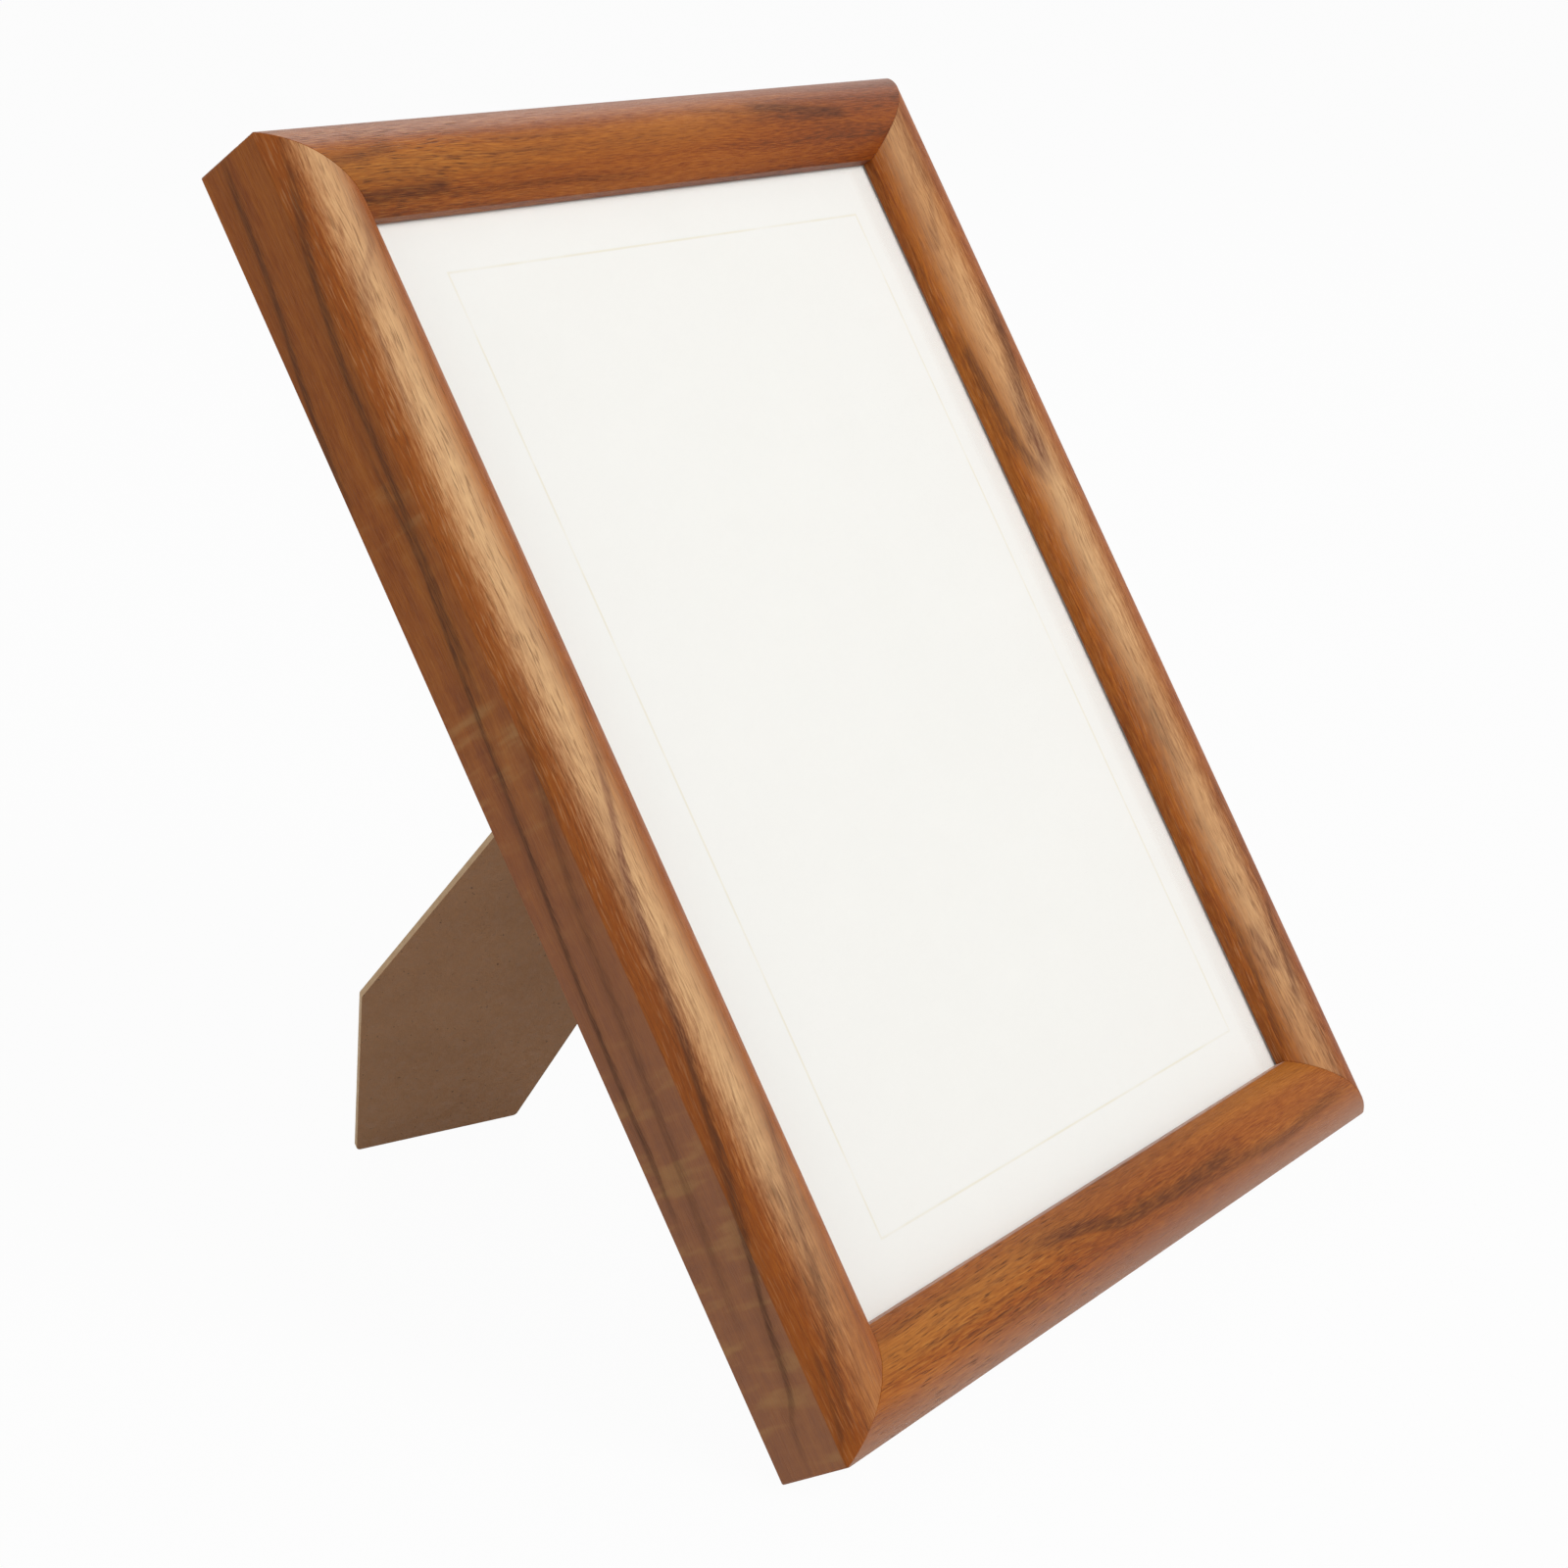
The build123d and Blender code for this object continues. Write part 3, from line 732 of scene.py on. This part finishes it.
# slots across the back of the mitres, for the nails
def makeSlotCutter():
    thin, wing = nailSlot["thick"] / 2, nailSlot["wing"]
    out = Vector((cos(nailSlot["spread"]), sin(nailSlot["spread"])))
    offset = Vector((-out.y, out.x)) * thin
    inner = thin / sin(nailSlot["spread"])
    slot = penDown("slotCutter", -inner, 0)
    for spot in (out * wing + offset, out * wing - offset, Vector((inner, 0))):
        penLine(slot, spot.x, spot.y)
    for spot in (out * wing - offset, out * wing + offset, Vector((-inner, 0))):
        penLine(slot, spot.x, -spot.y)
    penFill(slot, nailSlot["deep"] + mm)
    copies = []
    for sx, sy, bearing in ((1, 1, -135), (-1, 1, -45), (-1, -1, 45), (1, -1, 135)):
        corner = Vector((sx * frameWide / 2, sy * frameHigh / 2, -mm))
        turn = Matrix.Rotation(radians(bearing), 4, "Z")
        for share in nailSlot["shares"]:
            run = turn @ Vector((share * moulding["landWide"] * 2 ** 0.5, 0, 0))
            twin = copyOf(slot, "slotCutter")
            settle(twin, onBack @ Matrix.Translation(corner + run) @ turn)
            copies.append(twin)
    scrap(slot)
    return merged(copies, "slotCutters")


slotCutters = makeSlotCutter()
for name, (inward, length, across, flip) in railRuns.items():
    rail, crest = makeRail(name + "_wood", length)
    layGrain(rail, crest, flip, length)
    run = inward.cross(outFront)
    settle(rail, axesAt(backMiddle - inward * across / 2 - run * length / 2, inward, outFront, run))
    cutAway(rail, slotCutters)
    openUp(rail, "VERT")
    selectAll()
    bpy.ops.mesh.dissolve_degenerate(threshold=hair)
    smooth(rail, moulding["smoothTurn"])
    finishOff(rail, name, "frame", woodFinish(name + "_grain", railGrain[name]))
    print("rail done:", name, len(rail.data.polygons), "faces")
scrap(slotCutters)

# pane: ground edges, a hair clear of the lip and the sheet
pane = {
    "wide": 210 * mm, "high": 297 * mm, "low": 17.5 * mm, "thick": 1 * mm, "clear": 0.04 * mm,
    "ease": 0.15 * mm, "through": (0.995, 0.995, 0.99, 1),
    "glass": {  # low-reflection picture glass
        "Base Color": (0.998, 0.999, 0.995, 1), "Roughness": 0.015, "IOR": 1.22, "Transmission Weight": 1,
    },
}


def makePane():
    glass = penDown("glazing_pane", -pane["wide"] / 2, -pane["high"] / 2)
    for sx, sy in ((1, -1), (1, 1), (-1, 1), (-1, -1)):
        penLine(glass, sx * pane["wide"] / 2, sy * pane["high"] / 2)
    penFill(glass, pane["thick"] - 2 * pane["clear"])
    ease(glass, lambda edge: True, pane["ease"], 2)
    settle(glass, onBack @ Matrix.Translation((0, 0, pane["low"] + pane["clear"])))
    finish, tree, shader = newFinish("clear_glass", pane["glass"])
    path = addNode(tree, "ShaderNodeLightPath").outputs
    through = addNode(tree, "ShaderNodeBsdfTransparent", {"Color": pane["through"]}).outputs[0]
    surface = shader.outputs[0]
    for ray in ("Is Diffuse Ray", "Is Shadow Ray"):  # light goes straight through to the sheet
        surface = addNode(tree, "ShaderNodeMixShader", {0: path[ray], 1: surface, 2: through}).outputs[0]
    tree.links.new(surface, tree.nodes["Material Output"].inputs["Surface"])
    finishOff(glass, "glazing", "frame", finish)


makePane()
print("pane done")

# sheet of paper with a thin pale border line
sheet = {
    "paper": srgb(251, 250, 247), "shade": srgb(247, 246, 242), "line": srgb(231, 222, 190),
    "lineMiddle": (3.8, 0.3), "lineHalf": (83.0, 128.7), "lineWide": 0.45, "lineWear": (0.12, 0.42),
    "wornSize": 0.06, "fibreSize": 2.2, "cloudSize": 0.03, "bump": (0.08, 0.05 * mm),
}


def onFrameMap(tree):
    spot = addNode(tree, "ShaderNodeTexCoord").outputs["Object"]
    axes = []
    for axis in (acrossFrame, upFrame, outFront):
        dot = addNode(tree, "ShaderNodeVectorMath", {0: spot, 1: axis}, operation="DOT_PRODUCT")
        centred = minus(tree, dot.outputs["Value"], backMiddle.dot(axis))
        axes.append(times(tree, centred, inMm))
    return axes


def paperFinish():
    finish, tree, shader = newFinish("white_paper", {"Roughness": 0.75})
    x, y, z = onFrameMap(tree)

    def mottle(size, depth, detail, rough=0.5):
        return noise(tree, times(tree, x, sheet[size]), times(tree, y, sheet[size]), depth, detail, rough)

    edges = []
    for value, middle, half in zip((x, y), sheet["lineMiddle"], sheet["lineHalf"]):
        edges.append(minus(tree, sums(tree, "ABSOLUTE", minus(tree, value, middle)), half))
    away = sums(tree, "ABSOLUTE", sums(tree, "MAXIMUM", *edges))
    line = between(tree, away, sheet["lineWide"] * 0.3, sheet["lineWide"], 1.0, 0.0)
    worn = mottle("wornSize", 3.0, 3.0)
    line = times(tree, line, between(tree, worn, 0.3, 0.6, *sheet["lineWear"]))
    fibre, cloud = mottle("fibreSize", z, 4.0, 0.7), mottle("cloudSize", z, 2.0)
    blend = plus(tree, times(tree, fibre, 0.5), times(tree, cloud, 0.5))
    tint = mixTint(tree, blend, sheet["paper"], sheet["shade"])
    tree.links.new(mixTint(tree, line, tint, sheet["line"]), shader.inputs["Base Color"])
    addBump(tree, shader, fibre, *sheet["bump"])
    return finish


nodes["insert_sheet"].material_slots[0].material = paperFinish()
print("sheet done")

# pressed fibre shared by the hardboard, card and spacers: size in millimetres, detail, roughness and seed
pressed = {
    "Cloud": (26.0, 3.0, 0.5, 1.0), "Fibre": (2.6, 4.0, 0.75, 7.0), "Fleck": (1.1, 1.0, 0.5, 15.0),
    "Dot": (0.8, 1.0, 0.5, 31.0),
}
pressedSpots = {"Fleck": (0.7, 0.78), "Dot": (0.64, 0.76)}  # where a spot begins and is full


def makePressedFibre():
    group, inp, out = newGroup("pressedFibre", {"Spot": None, "Size": 1}, tuple(pressed))
    parts = partsInMm(group, inp["Spot"])
    for key, (size, detail, rough, seed) in pressed.items():
        factor = sums(group, "DIVIDE", 1.0, times(group, inp["Size"], size))
        moved = [plus(group, times(group, part, factor), seed) for part in parts]
        blotch = noise(group, *moved, detail, rough)
        if key in pressedSpots:
            blotch = between(group, blotch, *pressedSpots[key])
        group.links.new(blotch, out[key])
    return group


pressedFibre = makePressedFibre()
hardboard = {
    "face": srgb(204, 156, 114), "dark": srgb(184, 137, 97), "edge": srgb(226, 197, 156),
    "fleck": srgb(84, 58, 40), "pale": srgb(194, 156, 120), "ease": 0.2 * mm,
    "cloudShare": 0.35, "dotDepth": 0.35, "fleckDepth": 0.7, "rimDepth": 0.7, "bump": (0.25, 0.15 * mm),
}


def hardboardFinish(name, faceDir):
    finish, tree, shader = newFinish(name)
    place = addNode(tree, "ShaderNodeTexCoord").outputs
    fibre = useGroup(tree, pressedFibre, {"Spot": place["Object"], "Size": 1.0})
    facing = addNode(tree, "ShaderNodeVectorMath", {0: place["Normal"], 1: faceDir}, operation="DOT_PRODUCT")
    edge = between(tree, sums(tree, "ABSOLUTE", facing.outputs["Value"]), 0.3, 0.7, 1.0, 0.0)
    cloud = times(tree, fibre["Cloud"], hardboard["cloudShare"])
    blend = plus(tree, cloud, times(tree, fibre["Fibre"], 1 - hardboard["cloudShare"]))
    tint = mixTint(tree, between(tree, blend, 0.35, 0.65), hardboard["dark"], hardboard["face"])
    tint = mixTint(tree, times(tree, fibre["Dot"], hardboard["dotDepth"]), tint, hardboard["pale"])
    tint = mixTint(tree, times(tree, fibre["Fleck"], hardboard["fleckDepth"]), tint, hardboard["fleck"])
    worn = times(tree, fibre["Fibre"], hardboard["rimDepth"])
    rim = mixTint(tree, worn, hardboard["edge"], hardboard["face"])
    tree.links.new(mixTint(tree, edge, tint, rim), shader.inputs["Base Color"])
    tree.links.new(between(tree, fibre["Fibre"], 0.3, 0.7, 0.55, 0.8), shader.inputs["Roughness"])
    addBump(tree, shader, fibre["Fibre"], *hardboard["bump"])
    return finish


for node, name, body, faceDir in (
    ("backing_board", "back_panel", "frame", outFront), ("easel_strut", "strut_panel", "strut", strutFace),
):
    panel = softened(node, name, hardboard["ease"])
    finishOff(panel, node, body, hardboardFinish(name + "_hardboard", faceDir))
    print("panel done:", name, len(panel.data.polygons), "faces")

# card behind the sheet, and the spacers
card = {
    "grey": (srgb(196, 188, 172), srgb(170, 161, 144)), "brown": (srgb(178, 150, 114), srgb(150, 122, 88)),
    "fibreSize": 1.6, "fleckDepth": 0.3, "bump": (0.2, 0.1 * mm),
}


def cardFinish(name, tints):
    finish, tree, shader = newFinish(name, {"Roughness": 0.85})
    spot = addNode(tree, "ShaderNodeTexCoord").outputs["Object"]
    fibre = useGroup(tree, pressedFibre, {"Spot": spot, "Size": card["fibreSize"]})
    tint = mixTint(tree, fibre["Fibre"], *tints)
    tint = mixTint(tree, times(tree, fibre["Fleck"], card["fleckDepth"]), tint, hardboard["fleck"])
    tree.links.new(tint, shader.inputs["Base Color"])
    addBump(tree, shader, fibre["Fibre"], *card["bump"])
    return finish


nodes["backing_card"].material_slots[0].material = cardFinish("grey_card", card["grey"])
spacerCard = cardFinish("brown_card", card["brown"])
for side in ("left", "right", "top", "bottom"):
    nodes[side + "_spacer"].material_slots[0].material = spacerCard
print("boards and card done")

# zinc plate: cloudy gloss, fine rolling lines and a few dull spots
zinc = {
    "bright": srgb(206, 205, 200), "dull": srgb(184, 183, 180), "spot": srgb(112, 108, 100),
    "buttonBright": srgb(200, 199, 196), "buttonDull": srgb(176, 176, 175),
    "wear": {  # waves to the millimetre, detail and roughness
        "Cloud": ((0.35, 0.35, 0.35), 3.0, 0.6), "Lines": ((0.4, 9.0, 9.0), 2.0, 0.6),
        "Spots": ((1.3, 1.3, 1.3), 3.0, 0.7),
    },
    "spotEnds": (0.62, 0.74), "spotDepth": 0.45, "cloudShare": 0.6, "bump": (0.1, 0.03 * mm),
}


def makePlateWear():
    group, inp, out = newGroup("plateWear", {"Spot": None}, tuple(zinc["wear"]))
    parts = partsInMm(group, inp["Spot"])
    for key, (waves, detail, rough) in zinc["wear"].items():
        value = noise(group, *[times(group, *pair) for pair in zip(parts, waves)], detail, rough)
        if key == "Spots":
            value = between(group, value, *zinc["spotEnds"])
        group.links.new(value, out[key])
    return group


plateWear = makePlateWear()


def steelFinish(name, bright, dull, smoothest, roughest):
    finish, tree, shader = newFinish(name, {"Metallic": 1})
    spot = addNode(tree, "ShaderNodeTexCoord").outputs["Object"]
    wear = useGroup(tree, plateWear, {"Spot": spot})
    tint = mixTint(tree, between(tree, wear["Cloud"], 0.35, 0.65), dull, bright)
    tint = mixTint(tree, times(tree, wear["Spots"], zinc["spotDepth"]), tint, zinc["spot"])
    tree.links.new(tint, shader.inputs["Base Color"])
    both = times(tree, wear["Cloud"], zinc["cloudShare"])
    both = plus(tree, both, times(tree, wear["Lines"], 1 - zinc["cloudShare"]))
    tree.links.new(between(tree, both, 0.35, 0.65, smoothest, roughest), shader.inputs["Roughness"])
    addBump(tree, shader, wear["Lines"], *zinc["bump"])
    return finish


plateSteel = steelFinish("zinc_plate", zinc["bright"], zinc["dull"], 0.28, 0.46)
buttonSteel = steelFinish("button_plate", zinc["buttonBright"], zinc["buttonDull"], 0.3, 0.46)
nodes["corner_v_nails"].material_slots[0].material = plateSteel
for node, name, body, offset in (
    ("hinge_board_leaf", "board_leaf_plate", "frame", 0.15),
    ("hinge_strut_leaf", "strut_leaf_plate", "strut", 0.15),
    ("hinge_pin", "pin_rod", "frame", 0.12),
    ("portrait_hanger", "portrait_hanger_strip", "frame", 0.1),
    ("landscape_hanger", "landscape_hanger_strip", "frame", 0.1),
):
    plate = softened(node, name, offset * mm)
    finishOff(plate, node, body, plateSteel)
    print("plate done:", name, len(plate.data.polygons), "faces")


# a round head with a thinner shank drawn down from it
def headAndShank(name, sizes, low, shank):
    putDown()
    bpy.ops.mesh.primitive_cylinder_add(
        vertices=sizes["sides"], radius=sizes["head"], depth=sizes["high"],
        location=(0, 0, low + sizes["high"] / 2),
    )
    piece = named(name)
    applyPlace()
    openUp(piece, "FACE")
    pick(piece, "faces", lambda face: face.normal.z < -0.9)
    bpy.ops.mesh.inset(thickness=sizes["head"] - sizes["radius"])
    drawOut(0, 0, -shank)
    return piece


# rivets through the leaves: a domed head, a shank and a flat tail
rivet = {
    "sides": 36, "radius": 1.2 * mm, "head": 2.4 * mm, "high": 0.7 * mm, "crown": 0.6 * mm,
    "tail": 0.4 * mm, "tailEase": 0.12 * mm, "leaf": 0.8 * mm, "across": 13 * mm, "below": 16.65 * mm,
    "heel": (-15 * mm, 21.3 * mm), "boardGrip": 3.8 * mm, "strutGrip": 2.8 * mm,
}


def makeRivet(name, grip):
    piece = headAndShank(name, rivet, 0, grip)
    bpy.ops.mesh.inset(thickness=0, depth=0)
    spread = rivet["head"] / rivet["radius"]
    bpy.ops.transform.resize(value=(spread, spread, 1), center_override=(0, 0, -grip))
    drawOut(0, 0, -rivet["tail"])
    ease(piece, above(rivet["high"] - hair), rivet["crown"], 6)
    low = -grip - rivet["tail"] + hair
    ease(piece, lambda edge: all(vert.co.z < low for vert in edge.verts), rivet["tailEase"], 2)
    putDown()
    return piece


heel = onBack @ Vector((*rivet["heel"], 0))
for node, name, body, rise, out, grip in (
    ("board_rivets", "board_rivet_pair", "frame", hingeUp, -outFront, "boardGrip"),
    ("strut_rivets", "strut_rivet_pair", "strut", strutFace.cross(hingeRun), strutFace, "strutGrip"),
):
    blank = makeRivet("rivetBlank", rivet[grip])
    pair = []
    for side in (-1, 1):
        spot = heel + hingeRun * side * rivet["across"] - rise * rivet["below"] + out * rivet["leaf"]
        twin = copyOf(blank, "rivetCopy")
        settle(twin, axesAt(spot, hingeRun, out.cross(hingeRun), out))
        pair.append(twin)
    scrap(blank)
    pair = merged(pair, name)
    smooth(pair)
    finishOff(pair, node, body, plateSteel)

# turn buttons and their screws, on the backs of the rails
button = {
    "radius": 6 * mm, "tipRadius": 4 * mm, "reach": 14 * mm, "thick": 1.2 * mm, "ease": 0.35 * mm,
    "clear": 0.02 * mm, "roundSteps": 30, "tipSteps": 20,
}
screw = {
    "sides": 40, "radius": 1.5 * mm, "head": 3.2 * mm, "high": 1.8 * mm, "crown": 1.1 * mm,
    "slot": 0.8 * mm, "slotDeep": 0.9 * mm, "shank": 10 * mm, "slotTurn": 37,
}


def makeButton():
    lean = acos((button["radius"] - button["tipRadius"]) / button["reach"])
    edge = Vector((cos(lean), sin(lean)))
    plate = penDown("buttonBlank", edge.x * button["radius"], edge.y * button["radius"])
    penArc(0, 0, 2 * (pi - lean), button["roundSteps"])
    penLine(plate, button["reach"] + edge.x * button["tipRadius"], -edge.y * button["tipRadius"])
    penArc(button["reach"], 0, 2 * lean, button["tipSteps"])
    penLine(plate, edge.x * button["radius"], edge.y * button["radius"])
    penFill(plate, button["thick"] - 2 * button["clear"])
    ease(plate, above(button["thick"] * 0.9), button["ease"], 3)
    putDown()
    return plate


def makeScrew():
    head = headAndShank("screwBlank", screw, button["thick"], screw["shank"])
    top = button["thick"] + screw["high"]
    ease(head, above(top - hair), screw["crown"], 6)
    putDown()
    bpy.ops.mesh.primitive_cube_add(size=1, location=(0, 0, top))
    blade = bpy.context.object
    blade.scale = (4 * screw["head"], screw["slot"], 2 * screw["slotDeep"])
    applyPlace()
    cutAway(head, blade)
    scrap(blade)
    return head


def rearAxes(spot, inward):
    return axesAt(spot, inward, (-outFront).cross(inward), -outFront)


buttonBlank, screwBlank = makeButton(), makeScrew()
screws = []
for number in range(1, 9):
    name = f"turn_button_{number}"
    spot = Vector(joints[name + "_swivel"]["pos_m"])
    away = onBack.inverted() @ spot
    spot -= outFront * away.z  # down to the back of the rail
    onStile = abs(away.x) > frameWide / 2 - moulding["landWide"]
    inward = -acrossFrame * (1 if away.x > 0 else -1) if onStile else -upFrame * (1 if away.y > 0 else -1)
    plate = copyOf(buttonBlank, name + "_plate")
    settle(plate, rearAxes(spot, inward) @ Matrix.Translation((0, 0, button["clear"])))
    smooth(plate)
    finishOff(plate, name, name, buttonSteel)
    twin = copyOf(screwBlank, "screwCopy")
    turn = Matrix.Rotation(radians(screw["slotTurn"] * number % 180), 4, "Z")  # slots stop where they stop
    settle(twin, rearAxes(spot, inward) @ turn)
    screws.append(twin)
scrap(buttonBlank)
scrap(screwBlank)
screwSet = merged(screws, "button_screw_set")
smooth(screwSet)
finishOff(screwSet, "button_screws", "frame", plateSteel)
print("buttons and screws done")

# floor, light and camera
studio = {
    "floor": {"Base Color": (0.6, 0.6, 0.6, 1), "Roughness": 0.9, "Specular IOR Level": 0.1},
    "floorSize": 40, "floorDrop": 0.2 * mm, "lift": 0.965, "ambient": 0.24, "white": (1, 1, 1, 1),
    "lamps": {  # side, height, distance, size, power
        "key": (6, 36, 3.0, 1.1, 57), "rim": (126, 42, 2.8, 0.8, 9), "fill": (-84, 11, 3.0, 2.8, 25),
    },
    "aimOut": 20 * mm, "lens": 65.246, "sensor": 36,
    "spot": (-0.578567, -0.459915, 0.349294), "turns": (72.8421, 0.4362, -51.6965),
}


# what the camera sees, straight or by way of metal and glass, before any matt surface
def seenStraight(tree):
    path = addNode(tree, "ShaderNodeLightPath").outputs
    shiny = sums(tree, "MAXIMUM", path["Is Glossy Ray"], path["Is Transmission Ray"])
    matt = sums(tree, "MINIMUM", path["Diffuse Depth"], 1.0)
    first = sums(tree, "MAXIMUM", path["Is Camera Ray"], shiny)
    return times(tree, first, minus(tree, 1.0, matt))


putDown()
bpy.ops.mesh.primitive_plane_add(size=studio["floorSize"], location=(0, 0, -studio["floorDrop"]))
floor = bpy.context.object
floor.name = "studio_floor"
floorFinish, tree, shader = newFinish("pale_floor", studio["floor"])
white = addNode(tree, "ShaderNodeEmission", {"Color": studio["white"], "Strength": 1.0}).outputs[0]
lifted = addNode(tree, "ShaderNodeMixShader", {
    0: times(tree, seenStraight(tree), studio["lift"]), 1: shader.outputs[0], 2: white,
}).outputs[0]
tree.links.new(lifted, tree.nodes["Material Output"].inputs["Surface"])
floor.data.materials.append(floorFinish)

world = bpy.data.worlds.new("studio")
bpy.context.scene.world = world
world.use_nodes = True
tree = world.node_tree
tree.nodes.clear()
soft, white = (
    addNode(tree, "ShaderNodeBackground", {"Color": studio["white"], "Strength": strength}).outputs[0]
    for strength in (studio["ambient"], 1.0)
)
both = addNode(tree, "ShaderNodeMixShader", {0: seenStraight(tree), 1: soft, 2: white}).outputs[0]
tree.links.new(both, addNode(tree, "ShaderNodeOutputWorld").inputs["Surface"])

middle = backMiddle + outFront * studio["aimOut"]


def addLamp(name, side, high, away, size, power):
    lamp = bpy.data.lights.new(name, "AREA")
    lamp.shape, lamp.size, lamp.energy = "DISK", size, power
    holder = placed(name, lamp)
    level = cos(radians(high))
    aim = Vector((sin(radians(side)) * level, -cos(radians(side)) * level, sin(radians(high))))
    holder.location = middle + aim * away
    holder.rotation_euler = aim.to_track_quat("Z", "Y").to_euler()


for name, setting in studio["lamps"].items():
    addLamp(name, *setting)

camera = bpy.data.cameras.new("photo_view")
camera.lens, camera.sensor_width = studio["lens"], studio["sensor"]
viewer = placed("photo_view", camera)
viewer.location = studio["spot"]
viewer.rotation_euler = [radians(turn) for turn in studio["turns"]]
bpy.context.scene.camera = viewer
bpy.context.scene.view_settings.view_transform = "Standard"

print("scene ready")
